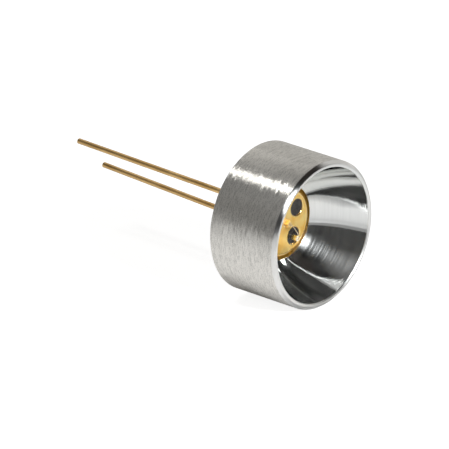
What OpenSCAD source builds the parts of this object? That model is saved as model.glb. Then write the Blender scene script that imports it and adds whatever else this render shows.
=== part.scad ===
// Infrared LED: a metal header with two leads, fixed in the back of a turned mirror cup.
// The pieces are drawn along Z, as on the lathe, with the rear face of the cup at zero and the
// light leaving along +Z. Each one is then laid on its side, so that the light leaves along +X.

/* [Mirror cup] */
// Outside diameter of the turned barrel
barrel_d = 9.5; // [9:0.1:14]
// Length of the barrel from the rear face to the lip
barrel_len = 5.18; // [4.7:0.02:8]
// Width of the flat lip round the mouth of the mirror bowl
lip_land = 0.18; // [0.05:0.01:0.4]
// Chamfer on the front edge of the barrel
lip_chamfer = 0.21; // [0.05:0.01:0.4]
// Depth of the header's top below the mouth
header_depth = 3.06; // [2.8:0.01:3.3]
// Distance of the mirror's rear focus in front of the chip's top face
focus_lift = 0.2; // [0:0.01:0.3]
// Distance in front of the mouth at which the mirror gathers the beam
beam_focus = 12.3; // [10:0.1:60]
// Chamfer on the rear edge of the barrel
rear_chamfer = 0.08; // [0.03:0.01:0.2]
// Radial clearance between the header's raised top and the bore of the cup
throat_gap = 0.22; // [0.1:0.01:0.3]
// Radial clearance between the header's tab and the pocket in the rear face
pocket_gap = 0.3; // [0.1:0.05:0.5]

/* [Header] */
// Diameter of the two holes in the header's top
seal_d = 1.04; // [0.8:0.02:1.2]
// Width of metal between a hole and the inside of the side wall
seal_land = 0.11; // [0.05:0.01:0.2]
// Thickness of the header's drawn side wall
wall_t = 0.25; // [0.2:0.01:0.3]
// Thickness of the header's top
top_t = 0.3; // [0.2:0.05:0.5]
// Height of the raised top above the flange
pedestal_h = 1; // [0.8:0.05:1.2]
// Rounding of the raised top's edge
pedestal_round = 0.2; // [0.1:0.05:0.25]
// Width of the flange round the raised top
brim_w = 0.55; // [0.45:0.05:0.7]
// Thickness of the header's flange
flange_t = 0.3; // [0.2:0.05:0.4]
// Width of the locating tab on the flange
tab_w = 1; // [0.8:0.05:1.2]
// Reach of the locating tab beyond the flange
tab_reach = 0.7; // [0.5:0.05:0.75]

/* [Sealing glass] */
// Depth of the glass below the header's top
seal_recess = 0.08; // [0.02:0.01:0.2]
// Depth of the glass inside the flange's rear face
back_recess = 0.08; // [0.02:0.01:0.2]

/* [Leads] */
// Diameter of the circle that the leads stand on
pin_circle_d = 2.54; // [2.3:0.02:2.6]
// Diameter of the leads
lead_d = 0.36; // [0.3:0.01:0.5]
// Clock angle of the insulated lead about the optical axis
lead_clock = -55; // [-180:1:180]
// Height of the bond post above the header's top
post_h = 0.4; // [0.35:0.01:0.6]
// Reach of the insulated lead behind the rear face
anode_len = 13.8; // [8:0.1:30]
// Reach of the case lead behind the rear face
case_len = 14.5; // [8:0.1:30]
// Clock angle that the tails of the leads lean towards
lean_clock = 61; // [-180:1:180]
// Lean of the insulated lead from the optical axis, in degrees
anode_lean = 2.1; // [0:0.05:3]
// Lean of the case lead from the optical axis, in degrees
case_lean = 1.15; // [0:0.05:3]
// Distance behind the rear face at which the leaning leads cross their circle
lean_pivot = 0.5; // [0:0.1:2]
// Diameter of the case lead's welded head
weld_d = 0.7; // [0.5:0.05:0.9]
// Thickness of the case lead's welded head
weld_t = 0.12; // [0.08:0.02:0.2]

/* [Emitter] */
// Side of the square chip
chip_w = 0.36; // [0.2:0.02:0.6]
// Thickness of the chip
chip_t = 0.3; // [0.15:0.01:0.35]
// Thickness of the adhesive pad under the chip
attach_t = 0.03; // [0.02:0.01:0.06]
// Reach of the adhesive pad beyond the chip's corners
attach_margin = 0.03; // [0.01:0.01:0.1]
// Diameter of the bond wire
wire_d = 0.05; // [0.03:0.01:0.08]
// Diameter of the wire's bonded feet
foot_d = 0.12; // [0.09:0.01:0.2]
// Thickness of the wire's bonded feet
foot_t = 0.03; // [0.02:0.01:0.06]
// Rise of the wire's loop, as the length of its two end tangents
loop_rise = 0.3; // [0.15:0.05:0.6]

/* [Adhesive] */
// Thickness of the adhesive bead behind the flange
bead_t = 0.16; // [0.1:0.02:0.25]
// Overlap of the bead onto the flange's rear face
bead_lap = 0.25; // [0.1:0.05:0.35]
// Hollow of the bead's rear surface
bead_hollow = 0.06; // [0.02:0.01:0.08]

/* [Hidden] */
$fn = 96;
bowl_steps = 24;
wire_sides = 8;
wire_steps = 16;
cut = 1;

// Radii from the optical axis: the header is sized outwards from its leads, and the cup from both
pin_r = pin_circle_d / 2;
cavity_r = pin_r + seal_d / 2 + seal_land;
pedestal_r = cavity_r + wall_t;
flange_r = pedestal_r + brim_w;
throat_r = pedestal_r + throat_gap;
pocket_r = flange_r + tab_reach + pocket_gap;
barrel_r = barrel_d / 2;
mouth_r = barrel_r - lip_chamfer - lip_land;

// Stations along the optical axis, from the rear face of the cup
header_z = barrel_len - header_depth;
chip_z = header_z + attach_t;
chip_top_z = chip_z + chip_t;
focus_z = chip_top_z + focus_lift;
flange_top_z = header_z - pedestal_h;
flange_back_z = flange_top_z - flange_t;
glass_back_z = flange_back_z + back_recess;
glass_top_z = header_z - seal_recess;
cavity_top_z = header_z - top_t;
post_z = header_z + post_h;
bead_z = flange_back_z - bead_t;

// The bowl is part of an ellipse turned about the axis. The ellipse runs through the mouth's edge,
// with one focus just in front of the chip and the other where the beam gathers
beam_z = barrel_len + beam_focus;
ellipse_z = (focus_z + beam_z) / 2;
ellipse_half = (norm([barrel_len - focus_z, mouth_r]) + norm([beam_focus, mouth_r])) / 2;
ellipse_r = sqrt(pow(ellipse_half, 2) - pow(beam_z - ellipse_z, 2));

// The blank seal is a quarter turn from the insulated lead, and the case lead is opposite it
blank_clock = lead_clock + 90;
case_clock = lead_clock + 180;
tab_clock = lead_clock - 45;

// The middle of the bond post's top, where the wire lands: the lean carries it off its circle
post_shift = (post_z + lean_pivot) * tan(anode_lean);
post_xy = pin_r * [cos(lead_clock), sin(lead_clock)] - post_shift * [cos(lean_clock), sin(lean_clock)];
wire_span = norm(post_xy);
wire_clock = atan2(post_xy[1], post_xy[0]);

// Height of the bowl at a radius
function bowl_z(r) = ellipse_z - ellipse_half * sqrt(1 - pow(r / ellipse_r, 2));

// Lays a piece on its side: Z becomes the row's +X, X its +Y and Y its +Z
module laid() {
  rotate([90, 0, 90]) children();
}

// Places a piece on the circle of the leads
module on_pin_circle(clock) {
  rotate(clock) translate([pin_r, 0, 0]) children();
}

module reflector() {
  bowl = [for (i = [0 : bowl_steps])
    let (r = mouth_r + (throat_r - mouth_r) * i / bowl_steps) [r, bowl_z(r)]];
  section = concat(
    [[pocket_r, 0],
     [barrel_r - rear_chamfer, 0],
     [barrel_r, rear_chamfer],
     [barrel_r, barrel_len - lip_chamfer],
     [barrel_r - lip_chamfer, barrel_len]],
    bowl,
    [[throat_r, flange_top_z],
     [pocket_r, flange_top_z]]);
  color("silver") laid() rotate_extrude() polygon(section);
}

// Section of the drawn header, with the rounded edge of its raised top
module header_section() {
  difference() {
    union() {
      translate([0, flange_back_z]) square([flange_r, flange_t]);
      translate([0, flange_back_z]) square([pedestal_r, flange_t + pedestal_h - pedestal_round]);
      translate([0, flange_back_z]) square([pedestal_r - pedestal_round, flange_t + pedestal_h]);
      translate([pedestal_r - pedestal_round, header_z - pedestal_round]) circle(pedestal_round);
    }
    translate([0, flange_back_z - cut]) square([cavity_r, cavity_top_z - flange_back_z + cut]);
  }
}

// The flange's locating tab, from inside the flange's edge to its square end
module tab() {
  rotate(tab_clock) translate([pedestal_r, -tab_w / 2, flange_back_z])
    cube([flange_r + tab_reach - pedestal_r, tab_w, flange_t]);
}

module header_eyelet() {
  color("gold") laid() difference() {
    union() {
      rotate_extrude() header_section();
      tab();
    }
    for (clock = [lead_clock, blank_clock])
      on_pin_circle(clock) translate([0, 0, cavity_top_z - cut])
        cylinder(d = seal_d, h = top_t + 2 * cut);
  }
}

module glass_fill() {
  color("darkslategray") laid() difference() {
    union() {
      translate([0, 0, glass_back_z]) cylinder(r = cavity_r, h = cavity_top_z - glass_back_z);
      for (clock = [lead_clock, blank_clock])
        on_pin_circle(clock) translate([0, 0, glass_back_z])
          cylinder(d = seal_d, h = glass_top_z - glass_back_z);
    }
    anode_wire();
    case_wire();
  }
}

// A straight lead that crosses its circle at the pivot and leans from there, cut square to the
// optical axis at its front end and square to itself at its tip
module lead(clock, top_z, reach, lean) {
  tail = (reach - lean_pivot) / cos(lean);
  nose = (top_z + lean_pivot) / cos(lean) + lead_d;
  difference() {
    on_pin_circle(clock) translate([0, 0, -lean_pivot]) rotate(lean_clock - clock) rotate([0, -lean, 0])
      translate([0, 0, -tail]) cylinder(d = lead_d, h = tail + nose);
    translate([-pedestal_r, -pedestal_r, top_z]) cube([2 * pedestal_r, 2 * pedestal_r, 2 * lead_d]);
  }
}

// The insulated lead, from the top of its bond post
module anode_wire() {
  lead(lead_clock, post_z, anode_len, anode_lean);
}

// The case lead, with the flattened head that is welded to the underside of the header's top
module case_wire() {
  lead(case_clock, cavity_top_z, case_len, case_lean);
  on_pin_circle(case_clock) translate([0, 0, cavity_top_z - weld_t]) cylinder(d = weld_d, h = weld_t);
}

module anode_lead() {
  color("goldenrod") laid() anode_wire();
}

module case_lead() {
  color("goldenrod") laid() case_wire();
}

module led_chip() {
  color("dimgray") laid() rotate(lead_clock) translate([-chip_w / 2, -chip_w / 2, chip_z])
    cube([chip_w, chip_w, chip_t]);
}

module die_attach() {
  color("lightgray") laid() translate([0, 0, header_z])
    cylinder(r = chip_w / sqrt(2) + attach_margin, h = attach_t);
}

// Points of the wire's loop from the chip to the post, as [distance from the axis, height]
function loop_point(t) =
  let (from = [0, chip_top_z + foot_t], to = [wire_span, post_z + foot_t], rise = [0, loop_rise])
  pow(1 - t, 3) * from + 3 * t * pow(1 - t, 2) * (from + rise)
  + 3 * t * t * (1 - t) * (to + rise) + pow(t, 3) * to;

// Direction of the loop, straight up at the chip and straight down at the post
function loop_dir(t) =
  t == 0 ? [0, 1] : t == 1 ? [0, -1] :
  let (step = 0.001, d = loop_point(t + step) - loop_point(t - step)) d / norm(d);

// A ring of points round the loop, square to its direction
function loop_ring(p, d, r) = [for (i = [0 : wire_sides - 1])
  let (a = 360 * i / wire_sides) [p[0] + r * cos(a) * d[1], r * sin(a), p[1] - r * cos(a) * d[0]]];

module bond_wire() {
  foot_r = foot_d / 2;
  rings = concat(
    [loop_ring([0, chip_top_z], [0, 1], foot_r),
     loop_ring([0, chip_top_z + foot_t], [0, 1], foot_r)],
    [for (i = [0 : wire_steps])
      let (t = i / wire_steps) loop_ring(loop_point(t), loop_dir(t), wire_d / 2)],
    [loop_ring([wire_span, post_z + foot_t], [0, -1], foot_r),
     loop_ring([wire_span, post_z], [0, -1], foot_r)]);
  last = len(rings) - 1;
  n = wire_sides;
  faces = concat(
    [[for (i = [0 : n - 1]) i]],
    [for (k = [0 : last - 1], i = [0 : n - 1])
      [k * n + i, (k + 1) * n + i, (k + 1) * n + (i + 1) % n, k * n + (i + 1) % n]],
    [[for (i = [n - 1 : -1 : 0]) last * n + i]]);
  color("gold") laid() rotate(wire_clock)
    polyhedron(points = [for (ring = rings) each ring], faces = faces);
}

// The bead round the flange: it fills the pocket beside the flange and laps onto the flange's back
module adhesive_ring() {
  lap_r = flange_r - bead_lap;
  half = (pocket_r - lap_r) / 2;
  hollow_r = (half * half + bead_hollow * bead_hollow) / (2 * bead_hollow);
  color("gray") laid() difference() {
    rotate_extrude() difference() {
      translate([lap_r, bead_z]) square([pocket_r - lap_r, flange_top_z - bead_z]);
      translate([0, flange_back_z]) square([flange_r, flange_t + cut]);
      translate([lap_r + half, bead_z + bead_hollow - hollow_r]) circle(hollow_r);
    }
    tab();
  }
}

reflector();
header_eyelet();
glass_fill();
anode_lead();
case_lead();
led_chip();
die_attach();
bond_wire();
adhesive_ring();
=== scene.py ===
from math import cos, hypot, pi, radians, sin, sqrt

import bpy
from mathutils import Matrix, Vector


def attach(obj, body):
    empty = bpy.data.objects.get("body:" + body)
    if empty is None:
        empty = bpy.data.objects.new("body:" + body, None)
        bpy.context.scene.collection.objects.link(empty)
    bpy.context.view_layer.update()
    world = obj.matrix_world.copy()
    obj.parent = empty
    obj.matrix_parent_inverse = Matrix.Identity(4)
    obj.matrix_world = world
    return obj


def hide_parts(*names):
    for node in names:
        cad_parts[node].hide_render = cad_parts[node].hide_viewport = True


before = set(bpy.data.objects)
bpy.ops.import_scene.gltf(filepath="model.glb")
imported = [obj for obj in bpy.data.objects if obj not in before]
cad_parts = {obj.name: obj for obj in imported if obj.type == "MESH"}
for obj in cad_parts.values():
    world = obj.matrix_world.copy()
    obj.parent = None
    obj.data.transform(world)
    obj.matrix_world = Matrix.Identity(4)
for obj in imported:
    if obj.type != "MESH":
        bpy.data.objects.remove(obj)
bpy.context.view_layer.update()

# The pieces are modelled in millimetres, in the row's frame, and shrunk to metres at the end
MM = 0.001

# Mirror cup
BARREL_R = 4.75
BARREL_LEN = 5.18
LIP_CHAMFER = 0.21
LIP_LAND = 0.18
LIP_X = BARREL_LEN - LIP_CHAMFER
LIP_R = BARREL_R - LIP_CHAMFER
MOUTH_R = BARREL_R - LIP_CHAMFER - LIP_LAND
MOUTH_EDGE = 0.09
BOWL_EDGE_R = MOUTH_R - 0.35 * MOUTH_EDGE
REAR_CHAMFER = 0.08
REAR_R = BARREL_R - REAR_CHAMFER
CUP_EDGE = 0.012
BEAM_X = BARREL_LEN + 12.3

# Header
HEADER_X = BARREL_LEN - 3.06
FLANGE_TOP_X = HEADER_X - 1
FLANGE_BACK_X = FLANGE_TOP_X - 0.3
CAVITY_TOP_X = HEADER_X - 0.3
PIN_R = 1.27
SEAL_R = 0.52
HOLE_ROUND = 0.11
CAVITY_R = PIN_R + SEAL_R + 0.11
PEDESTAL_R = CAVITY_R + 0.25
PEDESTAL_ROUND = 0.2
HEADER_FLAT_R = PEDESTAL_R - PEDESTAL_ROUND
FLANGE_R = PEDESTAL_R + 0.55
TAB_W = 1.0
TAB_END_R = FLANGE_R + 0.7
THROAT_R = PEDESTAL_R + 0.22
POCKET_R = TAB_END_R + 0.3
PUNCH_REACH = 0.5

# Sealing glass. Behind, it creeps up the wall: height, distance from the wall.
# A seal's top is hollow and each lead has a collar of glass: height, radius
GLASS_BACK_X = FLANGE_BACK_X + 0.08
GLASS_TOP_X = HEADER_X - 0.08
GLASS_CREEP = ((0, 0.16), (0.012, 0.08), (0.04, 0.02), (0.06, 0))
SEAL_FOOT_X = CAVITY_TOP_X - 0.2
SEAL_WET_X = GLASS_TOP_X + 0.02
SEAL_TOP = ((0.012, 0.48), (0.004, 0.4), (0, 0.3), (0, 0))
COLLAR = ((-0.1, 0), (-0.1, 0.3), (0, 0.3), (0.012, 0.25), (0.035, 0.21), (0.07, 0.185), (0.07, 0))

# Leads
LEAD_R = 0.18
LEAN_PIVOT_X = -0.5
LEAN_CLOCK = radians(61)
ANODE_CLOCK = radians(-55)
BLANK_CLOCK = radians(35)
CASE_CLOCK = radians(125)
TAB_CLOCK = radians(-100)
ANODE_LEAN = radians(2.1)
CASE_LEAN = radians(1.15)
ANODE_LEN = 13.8
CASE_LEN = 14.5
POST_X = HEADER_X + 0.4
POST_ROUND = 0.04
POST_FOOT_X = GLASS_TOP_X - 0.02
WELD_R = 0.35
WELD_T = 0.12
WELD_ROUND = 0.01
TAIL_ROUND = 0.02
TAIL_ZONE = 0.05
ROD_SPARE = 0.5
BORE_REACH = 2.0
BORE_SPARE = 0.1

# Emitter. The pad's side: height, distance in from its rim. A wire's foot: the same
PAD_T = 0.03
PAD_SIDE = ((0, 0), (0.008, 0.004), (0.02, 0.014), (0.028, 0.03), (PAD_T, 0.06))
CHIP_W = 0.36
CHIP_CORNER_R = CHIP_W / sqrt(2)
CHIP_X = HEADER_X + PAD_T
CHIP_TOP_X = CHIP_X + 0.3
CHIP_BEVEL_W = 0.02
CHIP_BEVEL_H = 0.03
CONTACT_R = 0.075
CONTACT_T = 0.02
CONTACT_SINK = 0.007
FOCUS_X = CHIP_TOP_X + 0.2
PAD_R = CHIP_CORNER_R + 0.03
WIRE_R = 0.025
FOOT_R = 0.06
FOOT_T = 0.03
FOOT_SIDE = ((0, 0.008), (0.006, 0), (0.018, 0.002), (FOOT_T, 0.015))
FOOT_NECK = 0.012
LOOP_RISE = 0.3

# Adhesive bead. Its inner start: height, distance out from its lap on the flange
BEAD_X = FLANGE_BACK_X - 0.16
BEAD_LAP_R = FLANGE_R - 0.25
BEAD_START = ((0.07, 0.004), (0.03, 0.02), (0.012, 0.05))
BEAD_HOLLOW = 0.06

# Steps round an axis, then steps along a drawn curve
CUP_STEPS = 360
HEADER_STEPS = 256
SEAL_STEPS = 192
HOLE_STEPS = 128
PAD_STEPS = 96
LEAD_STEPS = 64
WIRE_STEPS = 48
BOWL_STEPS = 72
MOUTH_STEPS = 8
RIM_STEPS = 8
PEDESTAL_STEPS = 10
BEAD_STEPS = 24
LOOP_STEPS = 40

# How near counts as on a ring or on a flat, a hair's room between faces, and how near points merge
RING_SLACK = 0.003
FLAT_SLACK = 0.001
HAIR = 0.0005
MERGE_GAP = 0.0004
WIRE_MERGE_GAP = 0.0001
SEED_SIZE = 0.01

# The part of a face's normal along the optical axis, which tells one kind of face from another
LIP_FACING = 0.2
HOLE_WALL_FACING = 0.75
ROLLED_FACING = 0.86
CUT_FACING = 0.6
CHIP_TOP_FACING = 0.9

# Turned marks: how far their rings slant with the radius, and the clock of the bowl's scratched side
RING_SLANT = 0.4
MARKS_CLOCK = radians(-46)
MARKS_INNER = radians(10)
MARKS_OUTER = radians(40)
THROAT_HAZE_W = 0.42

# Studio, in metres and degrees; azimuth is counted from +X
FLOOR_Z = -BARREL_R * MM
FLOOR_R = 0.7
FLOOR_STEPS = 96
FLOOR_RIM_GROWTH = 1.1
FLOOR_RIM_LIFTS = (0.006, 0.016, 0.026, 0.036)
FLOOR_MERGE_GAP = 0.0001
FLOOR_GREY = 0.45
FLOOR_SEEN = 0.85
# The floor in a mirror, lit by painted light that fades with distance and darkened by a painted shadow under
# the cup:
# its levels near and far, and its level in that painted shadow, each followed by the distances between which
# it changes
FLOOR_NEAR_LEVEL = 0.53
FLOOR_FAR_LEVEL = 0.27
FLOOR_FADE = (0.008, 0.035)
PAINTED_SHADE_LEVEL = 0.10
PAINTED_SHADE_BESIDE = (0.0021, 0.0048)
PAINTED_SHADE_PAST_END = (0.0026, 0.0042)
# The dim room in a mirror: its level, and soft glows as azimuth, elevation, outer angle, inner angle, level
ROOM_LEVEL = 0.014
ROOM_GLOWS = ((-90, 0, 80, 32, 0.045), (-85, 64, 28, 4, 0.15),
              (-36, 31, 13, 4, 0.035), (-3, 69, 10, 3, 0.022))
# Lamps: name, azimuth, elevation, distance, width, height, power, colour
LAMPS = (
    ("key_lamp", -8, 27, 0.35, 0.049, 0.049, 1.15, (0.95, 0.98, 1.0)),
    ("top_lamp", -142, 65.1, 0.35, 0.06, 0.06, 0.2, (1.0, 1.0, 0.98)),
    ("back_panel", 110, 25, 0.5, 1.0, 0.5, 0.86, (1.0, 0.99, 0.96)),
    ("side_panel", -135, 24, 0.5, 0.5, 0.42, 0.13, (1.0, 0.99, 0.96)),
    ("roof_panel", 158, 46, 0.5, 0.35, 0.28, 0.14, (1.0, 0.99, 0.96)),
    ("warm_card", 42, 52, 0.5, 0.3, 0.3, 0.004, (1.0, 0.72, 0.6)),
)
CAMERA_PLACE = (0.2305387, -0.2689301, 0.1459452)
CAMERA_TILT = radians(90 - 22.4843)
CAMERA_TURN = radians(40.9569)
CAMERA_LENS = 498.14
CAMERA_SENSOR = 36
CAMERA_START = 0.01


# Hand tools

def deselect():
    bpy.ops.object.select_all(action="DESELECT")


def pick(piece):
    deselect()
    piece.select_set(True)
    bpy.context.view_layer.objects.active = piece


def edit():
    bpy.ops.object.mode_set(mode="EDIT")


def leave():
    bpy.ops.object.mode_set(mode="OBJECT")


def named(name):
    """Gives the piece just added, and its mesh, a name."""
    piece = bpy.context.object
    piece.name = name
    piece.data.name = name
    return piece


def settle(piece):
    """Puts the piece's place, turn and size into its mesh."""
    pick(piece)
    bpy.ops.object.transform_apply(location=True, rotation=True, scale=True)


def shift_to(piece, middle):
    """Moves a piece that was turned about the X axis so that its axis runs through a point."""
    piece.location = (0, middle.y, middle.z)
    settle(piece)


def close_up(gap=MERGE_GAP):
    """Merges the doubles of the mesh in edit mode and turns its faces outwards."""
    bpy.ops.mesh.select_all(action="SELECT")
    bpy.ops.mesh.remove_doubles(threshold=gap)
    bpy.ops.mesh.normals_make_consistent(inside=False)


def turn(name, profile, steps):
    """Draws a profile of (distance along the axis, radius) point by point and spins it about the X axis."""
    deselect()
    x, r = profile[0]
    bpy.ops.mesh.primitive_plane_add(size=SEED_SIZE, location=(x, r, 0))
    piece = named(name)
    settle(piece)
    edit()
    bpy.ops.mesh.select_mode(type="VERT")
    bpy.ops.mesh.select_all(action="SELECT")
    bpy.ops.mesh.merge(type="CENTER")
    for (xa, ra), (xb, rb) in zip(profile, profile[1:]):
        bpy.ops.mesh.extrude_vertices_move(TRANSFORM_OT_translate={"value": (xb - xa, rb - ra, 0)})
    bpy.ops.mesh.select_all(action="SELECT")
    bpy.ops.mesh.spin(steps=steps, angle=2 * pi, center=(0, 0, 0), axis=(1, 0, 0))
    close_up()
    leave()
    return piece


def choose_edges(piece, test):
    """Goes into edit mode with the edges selected whose two ends pass the test."""
    pick(piece)
    edit()
    bpy.ops.mesh.select_mode(type="EDGE")
    bpy.ops.mesh.select_all(action="DESELECT")
    leave()
    points = piece.data.vertices
    for edge in piece.data.edges:
        edge.select = all(test(points[i].co) for i in edge.vertices)
    edit()


def choose_faces(piece, test):
    """Goes into edit mode with the faces selected whose middle and normal pass the test."""
    pick(piece)
    edit()
    bpy.ops.mesh.select_mode(type="FACE")
    bpy.ops.mesh.select_all(action="DESELECT")
    leave()
    for face in piece.data.polygons:
        face.select = test(face.center, face.normal)
    edit()


def off_axis(co):
    return hypot(co.y, co.z)


def on_ring(co, x, r):
    return abs(co.x - x) < RING_SLACK and abs(off_axis(co) - r) < RING_SLACK


def round_rings(piece, rings, width):
    """Bevels the turned edges that stand at the given (distance along the axis, radius) places."""
    choose_edges(piece, lambda co: any(on_ring(co, x, r) for x, r in rings))
    bpy.ops.mesh.bevel(offset=width, segments=3, profile=0.5, affect="EDGES")
    leave()


def modify(piece, kind, **settings):
    """Adds a modifier with these settings and applies it."""
    pick(piece)
    modifier = piece.modifiers.new(kind.lower(), kind)
    for key, value in settings.items():
        setattr(modifier, key, value)
    bpy.ops.object.modifier_apply(modifier=modifier.name)


def carve(piece, tool, operation="DIFFERENCE"):
    """Cuts the tool out of the piece, or joins it to it, and takes the tool away."""
    modify(piece, "BOOLEAN", object=tool, operation=operation, solver="EXACT")
    bpy.data.objects.remove(tool)


def finish_piece(piece, node, coats, angle=30):
    """Shrinks the piece to metres, smooths it, gives it its materials and puts it in the frame."""
    piece.scale = (MM, MM, MM)
    settle(piece)
    bpy.ops.object.shade_smooth_by_angle(angle=radians(angle))
    if isinstance(coats, bpy.types.Material):
        coats = [(coats, None)]
    piece.data.materials.clear()
    for coat, _ in coats:
        piece.data.materials.append(coat)
    for face in piece.data.polygons:
        for index, (_, test) in enumerate(coats):
            if test is None or test(face.center / MM, face.normal):
                face.material_index = index
                break
    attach(piece, "root")
    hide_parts(node)


def on_pin_circle(clock, x=0.0):
    return Vector((x, PIN_R * cos(clock), PIN_R * sin(clock)))


def direction(azimuth, elevation):
    a, e = radians(azimuth), radians(elevation)
    return Vector((cos(a) * cos(e), sin(a) * cos(e), sin(e)))


# Materials

class Nodes:
    """A node tree, with short ways to add a node, to link it and to reckon with values."""

    def __init__(self, tree):
        self.tree = tree

    def node(self, kind, **settings):
        node = self.tree.nodes.new(kind)
        for key, value in settings.items():
            setattr(node, key, value)
        return node

    def feed(self, source, target):
        """Links a source to a socket, or writes it there if it is a number."""
        if isinstance(source, (int, float)):
            target.default_value = source
        else:
            self.tree.links.new(source, target)

    def sums(self, operation, *values):
        node = self.node("ShaderNodeMath", operation=operation)
        for value, socket in zip(values, node.inputs):
            self.feed(value, socket)
        return node.outputs[0]

    def span(self, value, low, high, start=0.3, end=0.7):
        """Carries a value from start..end to low..high."""
        node = self.node("ShaderNodeMapRange")
        for source, socket in zip((value, start, end, low, high), node.inputs):
            self.feed(source, socket)
        return node.outputs[0]


class Coat(Nodes):
    """A node material under construction."""

    def __init__(self, name):
        self.material = bpy.data.materials.new(name)
        self.material.use_nodes = True
        super().__init__(self.material.node_tree)
        self.surface = self.tree.nodes["Principled BSDF"]
        self.place = self.node("ShaderNodeTexCoord").outputs["Object"]

    def noise(self, scale, detail=3.0, rough=0.55, place=None):
        """Noise with its own number of marks per metre along each axis."""
        mapping = self.node("ShaderNodeMapping")
        mapping.inputs["Scale"].default_value = scale
        self.feed(place or self.place, mapping.inputs["Vector"])
        node = self.node("ShaderNodeTexNoise")
        self.feed(1.0, node.inputs["Scale"])
        self.feed(detail, node.inputs["Detail"])
        self.feed(rough, node.inputs["Roughness"])
        self.feed(mapping.outputs["Vector"], node.inputs["Vector"])
        return node.outputs["Fac"]

    def grain(self, marks, detail=3.0):
        """Noise with the same number of marks per metre every way."""
        return self.noise((marks, marks, marks), detail)

    def ramp(self, value, dark, light, start=0.35, end=0.65):
        """Carries a value from start..end to a colour from dark to light."""
        node = self.node("ShaderNodeValToRGB")
        for element, at, colour in zip(node.color_ramp.elements, (start, end), (dark, light)):
            element.position = at
            element.color = (*colour, 1)
        self.feed(value, node.inputs[0])
        return node.outputs["Color"]

    def bump(self, height, distance, under=None):
        """A relief of this depth in metres, on top of another normal if one is given."""
        node = self.node("ShaderNodeBump")
        self.feed(1.0, node.inputs["Strength"])
        self.feed(distance, node.inputs["Distance"])
        self.feed(height, node.inputs["Height"])
        if under is not None:
            self.feed(under, node.inputs["Normal"])
        return node.outputs["Normal"]

    def about_the_axis(self):
        """The distance along the optical axis, both distances across it and the radius."""
        parts = self.node("ShaderNodeSeparateXYZ")
        self.feed(self.place, parts.inputs[0])
        along, y, z = parts.outputs
        square = self.sums("ADD", self.sums("MULTIPLY", y, y), self.sums("MULTIPLY", z, z))
        return along, y, z, self.sums("SQRT", square)

    def near_clock(self, clock, inner, outer):
        """One within the inner angle of a clock direction, falling to nothing at the outer angle."""
        _, y, z, radius = self.about_the_axis()
        towards = self.sums("ADD", self.sums("MULTIPLY", y, cos(clock)),
                            self.sums("MULTIPLY", z, sin(clock)))
        return self.span(self.sums("DIVIDE", towards, radius), 0.0, 1.0, cos(outer), cos(inner))

    def turning_rings(self, pitch, length, detail=2.0):
        """Noise in marks round the optical axis, a pitch apart and about a length long, in metres."""
        along, y, z, radius = self.about_the_axis()
        slanted = self.sums("ADD", along, self.sums("MULTIPLY", radius, RING_SLANT))
        wound = self.node("ShaderNodeCombineXYZ")
        for source, socket in zip((slanted, y, z), wound.inputs):
            self.feed(source, socket)
        return self.noise((1 / pitch, 1 / length, 1 / length), detail, 0.5, wound.outputs[0])

    def round_the_axis(self):
        return self.node("ShaderNodeTangent", direction_type="RADIAL", axis="X").outputs[0]

    def metal(self, anisotropy=0.0):
        self.surface.inputs["Metallic"].default_value = 1.0
        if anisotropy:
            self.surface.inputs["Anisotropic"].default_value = anisotropy
            self.surface.inputs["Anisotropic Rotation"].default_value = 0.25
            self.feed(self.round_the_axis(), self.surface.inputs["Tangent"])

    def swayed(self, amount, reach):
        """The normal leaned to and fro round the axis by a noise, as far as the reach."""
        lean = self.node("ShaderNodeVectorMath", operation="SCALE")
        self.feed(self.round_the_axis(), lean.inputs[0])
        self.feed(self.span(amount, -reach, reach), lean.inputs["Scale"])
        total = self.node("ShaderNodeVectorMath", operation="ADD")
        self.feed(self.node("ShaderNodeNewGeometry").outputs["Normal"], total.inputs[0])
        self.feed(lean.outputs[0], total.inputs[1])
        unit = self.node("ShaderNodeVectorMath", operation="NORMALIZE")
        self.feed(total.outputs[0], unit.inputs[0])
        return unit.outputs[0]

    def grooves(self, colour, share, across, along, normal=None):
        """Lays the gleam of fine grooves over the metal, spread wide across them and little along them."""
        gleam = self.node("ShaderNodeBsdfAnisotropic", distribution="BECKMANN")
        gleam.inputs["Roughness"].default_value = (across * along) ** 0.25
        gleam.inputs["Anisotropy"].default_value = 1 - sqrt(along / across)
        self.feed(self.round_the_axis(), gleam.inputs["Tangent"])
        self.feed(colour, gleam.inputs["Color"])
        if normal is not None:
            self.feed(normal, gleam.inputs["Normal"])
        both = self.node("ShaderNodeMixShader")
        for source, socket in zip((share, self.surface.outputs[0], gleam.outputs[0]), both.inputs):
            self.feed(source, socket)
        self.feed(both.outputs[0], self.tree.nodes["Material Output"].inputs["Surface"])

    def wear(self, colour, roughness, normal):
        """Gives the surface its colour, gloss and relief, which makes the material ready."""
        self.feed(colour, self.surface.inputs["Base Color"])
        self.feed(roughness, self.surface.inputs["Roughness"])
        self.feed(normal, self.surface.inputs["Normal"])
        return self.material


def grained_metal(name, marks, detail, dark, light, rough, depth):
    """A metal with one even grain that sets its tone, its gloss and its relief."""
    coat = Coat(name)
    coat.metal()
    grain = coat.grain(marks, detail)
    return coat.wear(coat.ramp(grain, dark, light), coat.span(grain, *rough), coat.bump(grain, depth))


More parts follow.
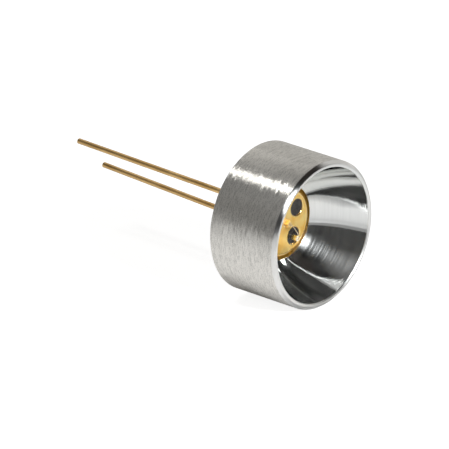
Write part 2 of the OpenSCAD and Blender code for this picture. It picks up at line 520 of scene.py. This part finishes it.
def satin_barrel():
    """Brushed aluminium. Its strokes sway the normal too, so that a highlight gets a fringe."""
    coat = Coat("satin_turned_barrel")
    coat.metal(anisotropy=0.7)
    strokes = coat.turning_rings(pitch=0.00006, length=0.00045, detail=1)
    pits = coat.grain(15000, detail=1)
    tone = coat.sums("ADD", coat.sums("MULTIPLY", strokes, 0.5), coat.sums("MULTIPLY", pits, 0.5))
    colour = coat.ramp(tone, (0.56, 0.545, 0.51), (0.84, 0.815, 0.77), 0.36, 0.56)
    sway = coat.turning_rings(pitch=0.00008, length=0.0006, detail=1)
    brushed = coat.bump(strokes, 0.000012, under=coat.swayed(sway, 0.05))
    coat.grooves(colour, 0.72, across=0.3, along=0.028, normal=brushed)
    return coat.wear(colour, coat.span(tone, 0.45, 0.55), brushed)


def polished_lip():
    coat = Coat("polished_lip")
    coat.metal(anisotropy=0.6)
    marks = coat.turning_rings(pitch=0.00006, length=0.001)
    colour = coat.ramp(marks, (0.82, 0.81, 0.79), (0.93, 0.92, 0.90), 0.3, 0.7)
    coat.grooves(colour, 0.9, across=0.10, along=0.06)
    return coat.wear(colour, coat.span(marks, 0.18, 0.28), coat.bump(marks, 0.000002))


def burnished_edge():
    coat = Coat("burnished_edge")
    coat.metal()
    marks = coat.turning_rings(pitch=0.00003, length=0.001)
    colour = coat.ramp(marks, (0.90, 0.90, 0.88), (0.97, 0.97, 0.95), 0.3, 0.7)
    coat.grooves(colour, 0.9, across=0.35, along=0.11)
    return coat.wear(colour, coat.span(marks, 0.45, 0.6), coat.bump(marks, 0.000001))


def mirror_bowl():
    """A mirror with faint turned rings, hazy on its scratched side and most of all by the throat there."""
    coat = Coat("mirror_bowl")
    coat.metal()
    rings = coat.turning_rings(pitch=0.00012, length=0.0025)
    colour = coat.ramp(rings, (0.82, 0.825, 0.81), (0.86, 0.865, 0.85), 0.3, 0.7)
    marked = coat.near_clock(MARKS_CLOCK, MARKS_INNER, MARKS_OUTER)
    radius = coat.about_the_axis()[3]
    by_throat = coat.span(radius, 0.27, 0.0, THROAT_R * MM, (THROAT_R + THROAT_HAZE_W) * MM)
    scratched = coat.span(rings, 0.04, 0.13, 0.43, 0.63)
    share = coat.sums("MULTIPLY", marked, coat.sums("ADD", scratched, by_throat))
    waves = coat.bump(coat.grain(700, detail=2), 0.000006)
    coat.grooves(colour, share, across=0.32, along=0.075)
    return coat.wear(colour, coat.span(rings, 0.05, 0.07), coat.bump(rings, 0.0000016, under=waves))


def turned_rear():
    coat = Coat("turned_rear")
    coat.metal(anisotropy=0.6)
    marks = coat.turning_rings(pitch=0.00008, length=0.001)
    colour = coat.ramp(marks, (0.62, 0.61, 0.59), (0.78, 0.77, 0.75), 0.3, 0.7)
    return coat.wear(colour, coat.span(marks, 0.26, 0.38), coat.bump(marks, 0.000004))


def gold_plate():
    coat = Coat("satin_gold_plate")
    coat.metal()
    grain = coat.grain(9000, detail=4)
    cloud = coat.grain(900, detail=2)
    colour = coat.ramp(cloud, (0.94, 0.56, 0.13), (1.0, 0.74, 0.28))
    waves = coat.bump(cloud, 0.000015)
    return coat.wear(colour, coat.span(grain, 0.32, 0.42), coat.bump(grain, 0.0000004, under=waves))


# Gold a little lighter than the flat top's: a painted highlight along the rounded edge; its lower roughness
# gives real gloss
def rolled_gold_edge_highlight():
    coat = Coat("rolled_gold_edge_highlight")
    coat.metal()
    grain = coat.grain(9000, detail=4)
    cloud = coat.grain(1500, detail=2)
    colour = coat.ramp(cloud, (0.96, 0.62, 0.20), (1.0, 0.76, 0.34))
    return coat.wear(colour, coat.span(grain, 0.12, 0.2), coat.bump(grain, 0.0000004))


# Gold darkened to brown by painted shade, for the walls of the holes in the header's top
def painted_shade_hole_wall():
    return grained_metal("painted_shade_hole_wall", 6000, 3, (0.16, 0.08, 0.02), (0.30, 0.16, 0.05),
                         rough=(0.4, 0.55), depth=0.000001)


def drawn_gold_lead():
    """Gold with fine draw lines along it and dull stains."""
    coat = Coat("drawn_gold_lead")
    coat.metal()
    drawn = coat.noise((300, 16000, 16000))
    stain = coat.noise((700, 1800, 1800))
    colour = coat.ramp(stain, (0.66, 0.405, 0.145), (0.88, 0.59, 0.26))
    return coat.wear(colour, coat.span(drawn, 0.24, 0.38), coat.bump(drawn, 0.000002))


def bright_post():
    return grained_metal("bright_gold_post", 12000, 3, (1.0, 0.78, 0.34), (1.0, 0.87, 0.48),
                         rough=(0.22, 0.32), depth=0.000001)


def cut_post_end():
    return grained_metal("cut_post_end", 14000, 3, (0.86, 0.74, 0.62), (0.97, 0.88, 0.78),
                         rough=(0.34, 0.46), depth=0.000001)


def bright_gold_wire():
    return grained_metal("bright_gold_wire", 20000, 2, (0.95, 0.78, 0.50), (1.0, 0.88, 0.66),
                         rough=(0.18, 0.28), depth=0.000001)


def satin_chip():
    return grained_metal("satin_chip", 12000, 3, (0.78, 0.54, 0.20), (0.92, 0.68, 0.30),
                         rough=(0.42, 0.54), depth=0.000001)


def black_sealing_glass():
    coat = Coat("black_sealing_glass")
    cloud = coat.grain(3000)
    colour = coat.ramp(cloud, (0.010, 0.008, 0.007), (0.026, 0.021, 0.018))
    coat.surface.inputs["IOR"].default_value = 1.5
    return coat.wear(colour, coat.span(cloud, 0.12, 0.24), coat.bump(cloud, 0.000004))


def silver_adhesive():
    coat = Coat("silver_filled_adhesive")
    flakes = coat.grain(30000, detail=2)
    colour = coat.ramp(flakes, (0.66, 0.46, 0.20), (0.82, 0.60, 0.30))
    coat.surface.inputs["Metallic"].default_value = 0.5
    return coat.wear(colour, coat.span(flakes, 0.4, 0.6), coat.bump(flakes, 0.000004))


def cured_dark_epoxy():
    coat = Coat("cured_dark_epoxy")
    ripple = coat.grain(1500, detail=2)
    dust = coat.grain(14000, detail=4)
    colour = coat.ramp(dust, (0.025, 0.025, 0.027), (0.09, 0.09, 0.095), 0.45, 0.8)
    under = coat.bump(ripple, 0.00004)
    return coat.wear(colour, coat.span(dust, 0.25, 0.45), coat.bump(dust, 0.000003, under=under))


# Pieces

def bowl_x(r):
    """Height of the bowl: an ellipse through the mouth's edge, with its foci by the chip and in the beam."""
    mid = (FOCUS_X + BEAM_X) / 2
    half = (hypot(BARREL_LEN - FOCUS_X, MOUTH_R) + hypot(BEAM_X - BARREL_LEN, MOUTH_R)) / 2
    wide = sqrt(half ** 2 - (BEAM_X - mid) ** 2)
    return mid - half * sqrt(1 - (r / wide) ** 2)


def eased_corner(start, corner, end, steps):
    """Points of a smooth curve from start to end that is drawn towards the corner between them."""
    points = []
    for i in range(steps + 1):
        t = i / steps
        points.append(tuple((1 - t) ** 2 * a + 2 * t * (1 - t) * b + t ** 2 * c
                            for a, b, c in zip(start, corner, end)))
    return points


def mirror_cup():
    """The turned cup: pocket, chamfered rear, barrel, lip, rounded mouth edge, bowl and throat."""
    bowl = [BOWL_EDGE_R + (THROAT_R - BOWL_EDGE_R) * i / BOWL_STEPS for i in range(1, BOWL_STEPS + 1)]
    profile = [(0, POCKET_R), (0, REAR_R), (REAR_CHAMFER, BARREL_R), (LIP_X, BARREL_R), (BARREL_LEN, LIP_R)]
    profile += eased_corner((BARREL_LEN, MOUTH_R + MOUTH_EDGE), (BARREL_LEN, MOUTH_R),
                            (bowl_x(BOWL_EDGE_R), BOWL_EDGE_R), MOUTH_STEPS)
    profile += [(bowl_x(r), r) for r in bowl]
    profile += [(FLANGE_TOP_X, THROAT_R), (FLANGE_TOP_X, POCKET_R), (0, POCKET_R)]
    piece = turn("mirror_cup", profile, CUP_STEPS)
    round_rings(piece, [(BARREL_LEN, LIP_R), (bowl_x(THROAT_R), THROAT_R)], CUP_EDGE)
    round_rings(piece, [(0, POCKET_R), (LIP_X, BARREL_R), (REAR_CHAMFER, BARREL_R), (0, REAR_R)],
                2 * CUP_EDGE)

    def on_mouth_edge(middle, normal):
        return middle.x > BARREL_LEN - MOUTH_EDGE and off_axis(middle) < MOUTH_R + MOUTH_EDGE - 4 * HAIR

    def in_bowl(middle, normal):
        inwards = normal.y * middle.y + normal.z * middle.z < 0
        return inwards and FLANGE_TOP_X < middle.x < BARREL_LEN - CUP_EDGE and off_axis(middle) < MOUTH_R

    def on_lip(middle, normal):
        return middle.x > LIP_X and normal.x > LIP_FACING

    def on_barrel(middle, normal):
        return off_axis(middle) > REAR_R and middle.x > 0
    coats = [(burnished_edge(), on_mouth_edge), (mirror_bowl(), in_bowl), (polished_lip(), on_lip),
             (satin_barrel(), on_barrel), (turned_rear(), None)]
    finish_piece(piece, "reflector", coats)


def tab_block(name):
    """The block of the flange's locating tab, from inside the header's wall to its square end."""
    reach = TAB_END_R - PEDESTAL_R
    middle = PEDESTAL_R + reach / 2
    x = (FLANGE_BACK_X + FLANGE_TOP_X) / 2
    deselect()
    bpy.ops.mesh.primitive_cube_add(
        size=1, location=(x, middle * cos(TAB_CLOCK), middle * sin(TAB_CLOCK)),
        rotation=(TAB_CLOCK, 0, 0), scale=(FLANGE_TOP_X - FLANGE_BACK_X, reach, TAB_W))
    piece = named(name)
    settle(piece)
    return piece


def hole_r(x):
    """Radius of a hole in the header's top, whose rim is rounded."""
    rise = max(0, x - HEADER_X + HOLE_ROUND)
    return SEAL_R + HOLE_ROUND - sqrt(HOLE_ROUND ** 2 - rise ** 2)


def seal_punch(clock):
    """A round punch through the header's top, on the leads' circle, that rounds the rim of its hole."""
    start_x = HEADER_X - PUNCH_REACH
    end_x = HEADER_X + PUNCH_REACH
    profile = [(start_x, 0), (start_x, SEAL_R)]
    for i in range(RIM_STEPS + 1):
        x = HEADER_X - HOLE_ROUND * (1 - sin(i * pi / (2 * RIM_STEPS)))
        profile.append((x + HAIR, hole_r(x)))
    profile += [(end_x, SEAL_R + HOLE_ROUND), (end_x, 0)]
    punch = turn("seal_punch", profile, HOLE_STEPS)
    shift_to(punch, on_pin_circle(clock))
    return punch


def header_shell():
    """The drawn header: flat top with two holes, rounded edge, wall, flange with its tab, and the cavity."""
    profile = [(HEADER_X, HEADER_FLAT_R)]
    for i in range(1, PEDESTAL_STEPS + 1):
        a = i * pi / (2 * PEDESTAL_STEPS)
        profile.append((HEADER_X - PEDESTAL_ROUND * (1 - cos(a)), HEADER_FLAT_R + PEDESTAL_ROUND * sin(a)))
    profile += [(FLANGE_TOP_X, PEDESTAL_R), (FLANGE_TOP_X, FLANGE_R), (FLANGE_BACK_X, FLANGE_R),
                (FLANGE_BACK_X, CAVITY_R), (CAVITY_TOP_X, CAVITY_R)]
    piece = turn("header_shell", profile, HEADER_STEPS)
    for x, r in ((HEADER_X, HEADER_FLAT_R), (CAVITY_TOP_X, CAVITY_R)):
        choose_edges(piece, lambda co: on_ring(co, x, r))
        bpy.ops.mesh.edge_face_add()
        leave()
    pick(piece)
    edit()
    close_up()
    leave()
    for clock in (ANODE_CLOCK, BLANK_CLOCK):
        carve(piece, seal_punch(clock))
    carve(piece, tab_block("tab"), "UNION")
    modify(piece, "WEIGHTED_NORMAL", keep_sharp=True, weight=100)

    def in_hole(middle, normal):
        upright = abs(normal.x) < HOLE_WALL_FACING
        return upright and CAVITY_TOP_X < middle.x < HEADER_X and off_axis(middle) < CAVITY_R

    def on_rolled_edge(middle, normal):
        rounded = HEADER_X - HOLE_ROUND < middle.x < HEADER_X - HAIR
        return rounded and (off_axis(middle) < HEADER_FLAT_R or normal.x > ROLLED_FACING)
    # The holes' walls take gold darkened by painted shade
    coats = [(painted_shade_hole_wall(), in_hole), (rolled_gold_edge_highlight(), on_rolled_edge), (gold_plate(), None)]
    finish_piece(piece, "header_eyelet", coats)


def lead_axis(lean):
    """Direction of a lead towards its front end."""
    return Vector((cos(lean), -sin(lean) * cos(LEAN_CLOCK), -sin(lean) * sin(LEAN_CLOCK)))


def lead_at(clock, lean, x):
    """The middle of a lead at a distance along the optical axis."""
    axis = lead_axis(lean)
    return on_pin_circle(clock, LEAN_PIVOT_X) + axis * ((x - LEAN_PIVOT_X) / axis.x)


def lead_rod(name, clock, lean, front_x, reach, radius=LEAD_R):
    """A round rod along a lead's line, cut square to the optical axis in front and to itself behind."""
    axis = lead_axis(lean)
    back = on_pin_circle(clock, LEAN_PIVOT_X) - axis * (reach + LEAN_PIVOT_X) / cos(lean)
    front = lead_at(clock, lean, front_x + ROD_SPARE)
    deselect()
    bpy.ops.mesh.primitive_cylinder_add(vertices=LEAD_STEPS, radius=radius, depth=(front - back).length,
                                        location=(front + back) / 2)
    piece = named(name)
    piece.rotation_mode = "QUATERNION"
    piece.rotation_quaternion = Vector((0, 0, 1)).rotation_difference(axis)
    settle(piece)
    edit()
    bpy.ops.mesh.select_all(action="SELECT")
    bpy.ops.mesh.bisect(plane_co=(front_x, 0, 0), plane_no=(1, 0, 0), use_fill=True, clear_outer=True)
    close_up()
    leave()
    return piece


def soften_lead_ends(piece, front_x, width):
    """Rounds a lead's front end by this width and breaks the edge of its tail."""
    tip = min(v.co.x for v in piece.data.vertices)
    choose_edges(piece, lambda co: abs(co.x - front_x) < FLAT_SLACK)
    bpy.ops.mesh.bevel(offset=width, segments=4, profile=0.5, affect="EDGES")
    leave()
    choose_edges(piece, lambda co: co.x < tip + TAIL_ZONE)
    bpy.ops.mesh.bevel(offset=TAIL_ROUND, segments=2, profile=0.5, affect="EDGES")
    leave()


def insulated_lead(coat):
    """The lead that passes through the glass and stands up as the bond post."""
    piece = lead_rod("insulated_lead", ANODE_CLOCK, ANODE_LEAN, POST_X, ANODE_LEN)
    soften_lead_ends(piece, POST_X, POST_ROUND)
    pick(piece)
    edit()
    bpy.ops.mesh.select_all(action="SELECT")
    bpy.ops.mesh.bisect(plane_co=(POST_FOOT_X, 0, 0), plane_no=(1, 0, 0))
    leave()

    def on_cut(middle, normal):
        return middle.x > POST_X - POST_ROUND / 2 and normal.x > CUT_FACING

    def on_post(middle, normal):
        return middle.x > POST_FOOT_X
    coats = [(cut_post_end(), on_cut), (bright_post(), on_post), (coat, None)]
    finish_piece(piece, "anode_lead", coats)


def case_wire_lead(coat):
    """The lead that is welded to the underside of the header's top."""
    piece = lead_rod("case_wire_lead", CASE_CLOCK, CASE_LEAN, CAVITY_TOP_X, CASE_LEN)
    soften_lead_ends(piece, CAVITY_TOP_X, WELD_ROUND)
    deselect()
    bpy.ops.mesh.primitive_cylinder_add(vertices=LEAD_STEPS, radius=WELD_R, depth=WELD_T,
                                        location=on_pin_circle(CASE_CLOCK, CAVITY_TOP_X - WELD_T / 2),
                                        rotation=(0, pi / 2, 0))
    head = named("weld_head")
    settle(head)
    carve(piece, head, "UNION")
    finish_piece(piece, "case_lead", coat)


def seal_glass():
    """The glass in the header: a disc in the cavity, a plug in each hole, and collars up the leads."""
    back = [(GLASS_BACK_X - rise, CAVITY_R - gap) for rise, gap in GLASS_CREEP]
    profile = [(GLASS_BACK_X, 0)] + back + [(CAVITY_TOP_X, CAVITY_R), (CAVITY_TOP_X, 0)]
    piece = turn("seal_glass", profile, SEAL_STEPS)
    for clock in (ANODE_CLOCK, BLANK_CLOCK):
        side = [(x, hole_r(x)) for x in (SEAL_FOOT_X, HEADER_X - HOLE_ROUND, GLASS_TOP_X, SEAL_WET_X)]
        top = [(GLASS_TOP_X + rise, r) for rise, r in SEAL_TOP]
        plug = turn("plug", [(SEAL_FOOT_X, 0)] + side + top, HOLE_STEPS)
        shift_to(plug, on_pin_circle(clock))
        carve(piece, plug, "UNION")
    collars = ((ANODE_CLOCK, ANODE_LEAN, GLASS_TOP_X, 1), (ANODE_CLOCK, ANODE_LEAN, GLASS_BACK_X, -1),
               (CASE_CLOCK, CASE_LEAN, GLASS_BACK_X, -1))
    for clock, lean, x, way in collars:
        collar = turn("collar", [(x + rise * way, r) for rise, r in COLLAR], LEAD_STEPS)
        shift_to(collar, lead_at(clock, lean, x))
        carve(piece, collar, "UNION")
    for clock, lean, front_x in ((ANODE_CLOCK, ANODE_LEAN, POST_X),
                                 (CASE_CLOCK, CASE_LEAN, CAVITY_TOP_X + BORE_SPARE)):
        carve(piece, lead_rod("bore", clock, lean, front_x, BORE_REACH, radius=LEAD_R + HAIR))
    finish_piece(piece, "glass_fill", black_sealing_glass(), angle=40)


def emitter_chip(gold):
    """The chip, with bevelled top edges and a round contact."""
    deselect()
    bpy.ops.mesh.primitive_cube_add(
        size=1, location=((CHIP_X + CHIP_TOP_X) / 2, 0, 0),
        rotation=(ANODE_CLOCK, 0, 0), scale=(CHIP_TOP_X - CHIP_X, CHIP_W, CHIP_W))
    piece = named("emitter_chip")
    settle(piece)
    choose_faces(piece, lambda middle, normal: normal.x > CHIP_TOP_FACING)
    bpy.ops.mesh.inset(thickness=CHIP_BEVEL_W)
    leave()
    rim_r = CHIP_CORNER_R - CHIP_BEVEL_W / 2
    choose_edges(piece, lambda co: co.x > CHIP_TOP_X - FLAT_SLACK and off_axis(co) > rim_r)
    bpy.ops.transform.translate(value=(-CHIP_BEVEL_H, 0, 0))
    leave()
    deselect()
    bpy.ops.mesh.primitive_cylinder_add(vertices=WIRE_STEPS, radius=CONTACT_R, depth=CONTACT_T,
                                        location=(CHIP_TOP_X - CONTACT_SINK, 0, 0), rotation=(0, pi / 2, 0))
    contact = named("contact")
    settle(contact)
    carve(piece, contact, "UNION")

    def on_contact(middle, normal):
        return middle.x > CHIP_TOP_X + HAIR
    finish_piece(piece, "led_chip", [(gold, on_contact), (satin_chip(), None)])


def chip_pad():
    """The pad of adhesive under the chip, with a rounded rim."""
    side = [(HEADER_X + rise, PAD_R - inset) for rise, inset in PAD_SIDE]
    piece = turn("chip_pad", [(HEADER_X, 0)] + side + [(CHIP_X, 0)], PAD_STEPS)
    finish_piece(piece, "die_attach", silver_adhesive(), angle=60)


def chip_wire(gold):
    """The wire's loop from the chip to the post, with a squashed foot at each end."""
    post = lead_at(ANODE_CLOCK, ANODE_LEAN, POST_X)
    rise = Vector((LOOP_RISE, 0, 0))
    start = Vector((CHIP_TOP_X + FOOT_T, 0, 0))
    end = Vector((POST_X + FOOT_T, post.y, post.z))
    deselect()
    bpy.ops.curve.primitive_bezier_curve_add()
    loop = bpy.context.object
    for point, place, before, after in zip(loop.data.splines[0].bezier_points, (start, end),
                                           (start - rise, end + rise), (start + rise, end - rise)):
        point.handle_left_type = "FREE"
        point.handle_right_type = "FREE"
        point.co = place
        point.handle_left = before
        point.handle_right = after
    loop.data.resolution_u = LOOP_STEPS
    loop.data.bevel_depth = WIRE_R
    loop.data.bevel_resolution = 5
    loop.data.use_fill_caps = True
    bpy.ops.object.convert(target="MESH")
    piece = named("chip_wire")
    edit()
    close_up(WIRE_MERGE_GAP)
    leave()
    for x, middle in ((CHIP_TOP_X, start), (POST_X, end)):
        side = [(x + up, FOOT_R - inset) for up, inset in FOOT_SIDE]
        neck_x = x + FOOT_T + FOOT_NECK
        foot = turn("foot", [(x, 0)] + side + [(neck_x, WIRE_R), (neck_x, 0)], WIRE_STEPS)
        shift_to(foot, middle)
        carve(piece, foot, "UNION")
    finish_piece(piece, "bond_wire", gold, angle=60)


def rear_bead():
    """The bead of adhesive in the rear pocket, hollow between the flange and the pocket's wall."""
    half = (POCKET_R - BEAD_LAP_R) / 2
    middle = BEAD_LAP_R + half
    profile = [(FLANGE_BACK_X, BEAD_LAP_R)]
    profile += [(BEAD_X + rise, BEAD_LAP_R + out) for rise, out in BEAD_START]
    for i in range(2, BEAD_STEPS + 1):
        r = BEAD_LAP_R + 2 * half * i / BEAD_STEPS
        profile.append((BEAD_X + BEAD_HOLLOW * (1 - ((r - middle) / half) ** 2), r))
    profile += [(FLANGE_TOP_X, POCKET_R), (FLANGE_TOP_X, FLANGE_R), (FLANGE_BACK_X, FLANGE_R),
                (FLANGE_BACK_X, BEAD_LAP_R)]
    piece = turn("rear_bead", profile, SEAL_STEPS)
    carve(piece, tab_block("tab"))
    finish_piece(piece, "adhesive_ring", cured_dark_epoxy(), angle=40)


# Studio

def white_where_seen(nodes, seen, mirrored, unseen):
    """A strength that is one value for the camera, one for reflections and one for all other light."""
    path = nodes.node("ShaderNodeLightPath").outputs
    gloss = nodes.sums("MAXIMUM", path["Is Glossy Ray"], path["Is Transmission Ray"])
    value = unseen
    for ray, level in ((gloss, mirrored), (path["Is Camera Ray"], seen)):
        mix = nodes.node("ShaderNodeMix", data_type="FLOAT")
        nodes.feed(ray, mix.inputs[0])
        nodes.feed(value, mix.inputs[2])
        nodes.feed(level, mix.inputs[3])
        value = mix.outputs[0]
    return value


def floor_in_mirrors(coat):
    """Strength of the floor in reflections: painted light that fades with distance, darkest in a painted
    shadow under the cup.
    """
    parts = coat.node("ShaderNodeSeparateXYZ")
    coat.feed(coat.place, parts.inputs[0])
    x, y, _ = parts.outputs
    # Painted shadow under the cup: the strength falls to the shade level beside the cup and along its length
    past_end = coat.sums("ABSOLUTE", coat.sums("SUBTRACT", x, 0.5 * BARREL_LEN * MM))
    beside = coat.sums("ABSOLUTE", y)
    shade = coat.sums("MAXIMUM", coat.span(beside, PAINTED_SHADE_LEVEL, 1.0, *PAINTED_SHADE_BESIDE),
                      coat.span(past_end, 0.0, 1.0, *PAINTED_SHADE_PAST_END))
    away = coat.sums("SQRT", coat.sums("ADD", coat.sums("MULTIPLY", x, x), coat.sums("MULTIPLY", y, y)))
    # Painted light: the strength fades from the near level to the far level with distance from the cup
    return coat.sums("MULTIPLY", shade, coat.span(away, FLOOR_NEAR_LEVEL, FLOOR_FAR_LEVEL, *FLOOR_FADE))


def floor_paint():
    coat = Coat("pale_floor_paint")
    surface = coat.surface.inputs
    surface["Base Color"].default_value = (FLOOR_GREY, FLOOR_GREY, FLOOR_GREY, 1)
    surface["Roughness"].default_value = 0.9
    surface["Specular IOR Level"].default_value = 0.0
    surface["Emission Color"].default_value = (1, 1, 1, 1)
    coat.feed(white_where_seen(coat, FLOOR_SEEN, floor_in_mirrors(coat), 0.0), surface["Emission Strength"])
    return coat.material


def pale_floor():
    """A white table top that turns up gently at its edges."""
    deselect()
    bpy.ops.mesh.primitive_circle_add(vertices=FLOOR_STEPS, radius=FLOOR_R, fill_type="NGON",
                                      location=(0, 0, FLOOR_Z))
    floor = named("pale_floor")
    settle(floor)
    edit()
    bpy.ops.mesh.select_mode(type="EDGE")
    bpy.ops.mesh.select_all(action="SELECT")
    for lift in FLOOR_RIM_LIFTS:
        bpy.ops.mesh.extrude_edges_move(TRANSFORM_OT_translate={"value": (0, 0, lift)})
        bpy.ops.transform.resize(value=(FLOOR_RIM_GROWTH, FLOOR_RIM_GROWTH, 1),
                                 center_override=(0, 0, FLOOR_Z))
    bpy.ops.mesh.select_all(action="SELECT")
    bpy.ops.mesh.remove_doubles(threshold=FLOOR_MERGE_GAP)
    leave()
    bpy.ops.object.shade_smooth_by_angle(angle=radians(30))
    floor.data.materials.append(floor_paint())


def studio_world():
    """White for the camera, and a dim room with soft glows for everything else."""
    world = bpy.context.scene.world or bpy.data.worlds.new("studio")
    bpy.context.scene.world = world
    world.use_nodes = True
    nodes = Nodes(world.node_tree)
    background = nodes.tree.nodes["Background"].inputs
    background["Color"].default_value = (1, 1, 1, 1)
    way = nodes.node("ShaderNodeTexCoord").outputs["Generated"]
    room = ROOM_LEVEL
    for azimuth, elevation, outer, inner, level in ROOM_GLOWS:
        near = nodes.node("ShaderNodeVectorMath", operation="DOT_PRODUCT")
        nodes.feed(way, near.inputs[0])
        near.inputs[1].default_value = direction(azimuth, elevation)
        glow = nodes.span(near.outputs["Value"], 0.0, level, cos(radians(outer)), cos(radians(inner)))
        room = nodes.sums("ADD", room, glow)
    nodes.feed(white_where_seen(nodes, 1.0, room, room), background["Strength"])


def hang_lamp(name, azimuth, elevation, distance, width, height, power, colour):
    """A soft rectangular lamp that looks at the cup."""
    place = direction(azimuth, elevation)
    deselect()
    bpy.ops.object.light_add(type="AREA", location=place * distance)
    lamp = bpy.context.object
    lamp.name = name
    lamp.rotation_euler = place.to_track_quat("Z", "Y").to_euler()
    lamp.data.shape = "RECTANGLE"
    lamp.data.size = width
    lamp.data.size_y = height
    lamp.data.energy = power
    lamp.data.color = colour
    lamp.visible_camera = False


def set_camera():
    deselect()
    bpy.ops.object.camera_add(location=CAMERA_PLACE, rotation=(CAMERA_TILT, 0, CAMERA_TURN))
    camera = bpy.context.object
    camera.data.sensor_width = CAMERA_SENSOR
    camera.data.lens = CAMERA_LENS
    camera.data.clip_start = CAMERA_START
    bpy.context.scene.camera = camera


set_camera()
studio_world()
pale_floor()
for lamp_facts in LAMPS:
    hang_lamp(*lamp_facts)

mirror_cup()
header_shell()
seal_glass()
lead_coat = drawn_gold_lead()
insulated_lead(lead_coat)
case_wire_lead(lead_coat)
wire_gold = bright_gold_wire()
emitter_chip(wire_gold)
chip_pad()
chip_wire(wire_gold)
rear_bead()

bpy.context.scene.view_settings.view_transform = "Standard"
